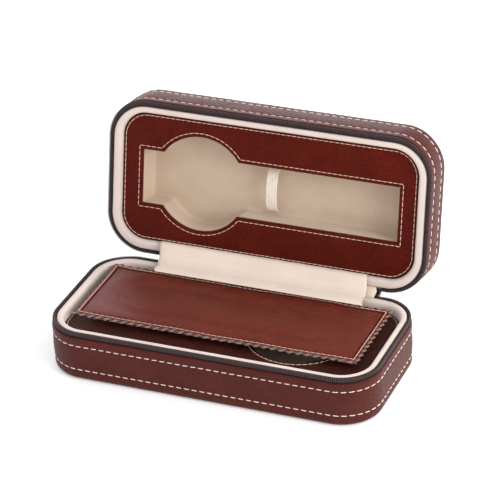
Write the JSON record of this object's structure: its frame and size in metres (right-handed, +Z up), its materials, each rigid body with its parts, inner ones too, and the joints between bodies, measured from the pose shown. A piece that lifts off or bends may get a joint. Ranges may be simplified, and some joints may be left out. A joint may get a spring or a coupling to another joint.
{
  "type": "watch box",
  "caption": "Zip-around leather travel case for wristwatches, with an opening lid, recessed wells with straps and a padded divider flap.",
  "frame": {"origin": "centre of the base's underside, on the surface it stands on", "axes": "+X along the case's length, +Y from the front towards the spine, +Z up; at rest the lid stands open"},
  "size_m": [0.212, 0.1505, 0.132],
  "materials": {
    "brown_leather": "satin",
    "red_brown_leather": "satin",
    "cream_velvet": "matte",
    "cream_fabric": "matte",
    "zipper_tape_cloth": "matte",
    "zipper_teeth_nylon": "satin",
    "grey_board": "matte",
    "foam": "matte",
    "dark_metal": "satin"
  },
  "bodies": {
    "base": {"base_leather_cover": "brown_leather", "base_board_tray": "grey_board", "base_foam_block": "foam", "base_well_liner": "cream_velvet", "base_insert_board": "grey_board", "base_insert_leather": "red_brown_leather", "base_rim_lining": "cream_fabric", "base_zipper_tape": "zipper_tape_cloth", "base_zipper_teeth": "zipper_teeth_nylon", "base_watch_loop": "cream_fabric", "spine_leather": "brown_leather", "spine_lining": "cream_velvet", "hinge_lining": "cream_velvet"},
    "lid": {"lid_leather_cover": "brown_leather", "lid_board_tray": "grey_board", "lid_foam_block": "foam", "lid_well_liner": "cream_velvet", "lid_insert_board": "grey_board", "lid_insert_leather": "red_brown_leather", "lid_rim_lining": "cream_fabric", "lid_zipper_tape": "zipper_tape_cloth", "lid_zipper_teeth": "zipper_teeth_nylon", "lid_watch_loop": "cream_fabric"},
    "divider": {"divider_top_leather": "brown_leather", "divider_under_leather": "red_brown_leather", "divider_foam": "foam"},
    "zip_slider": {"zip_slider": "dark_metal"},
    "zip_pull": {"zip_pull": "dark_metal"}
  },
  "joints": [
    {"name": "lid_hinge", "type": "hinge", "parent": "base", "child": "lid", "pos_m": [0, 0.051, 0.0334], "axis": [1, 0, 0], "range_deg": [0, 101.7], "deforming": ["spine_leather", "spine_lining", "hinge_lining"]},
    {"name": "divider_lift", "type": "hinge", "parent": "base", "child": "divider", "pos_m": [0, 0.0395, 0.0308], "axis": [1, 0, 0], "range_deg": [-85, 0], "deforming": ["divider_top_leather", "divider_under_leather", "divider_foam"]},
    {"name": "zip_slide", "type": "slide", "parent": "base", "child": "zip_slider", "axis": [1, 0, 0], "range_m": [0, 0.006]},
    {"name": "pull_swing", "type": "hinge", "parent": "zip_slider", "child": "zip_pull", "pos_m": [0.074, 0.0562, 0.0308], "axis": [1, 0, 0], "range_deg": [0, 70]}
  ]
}
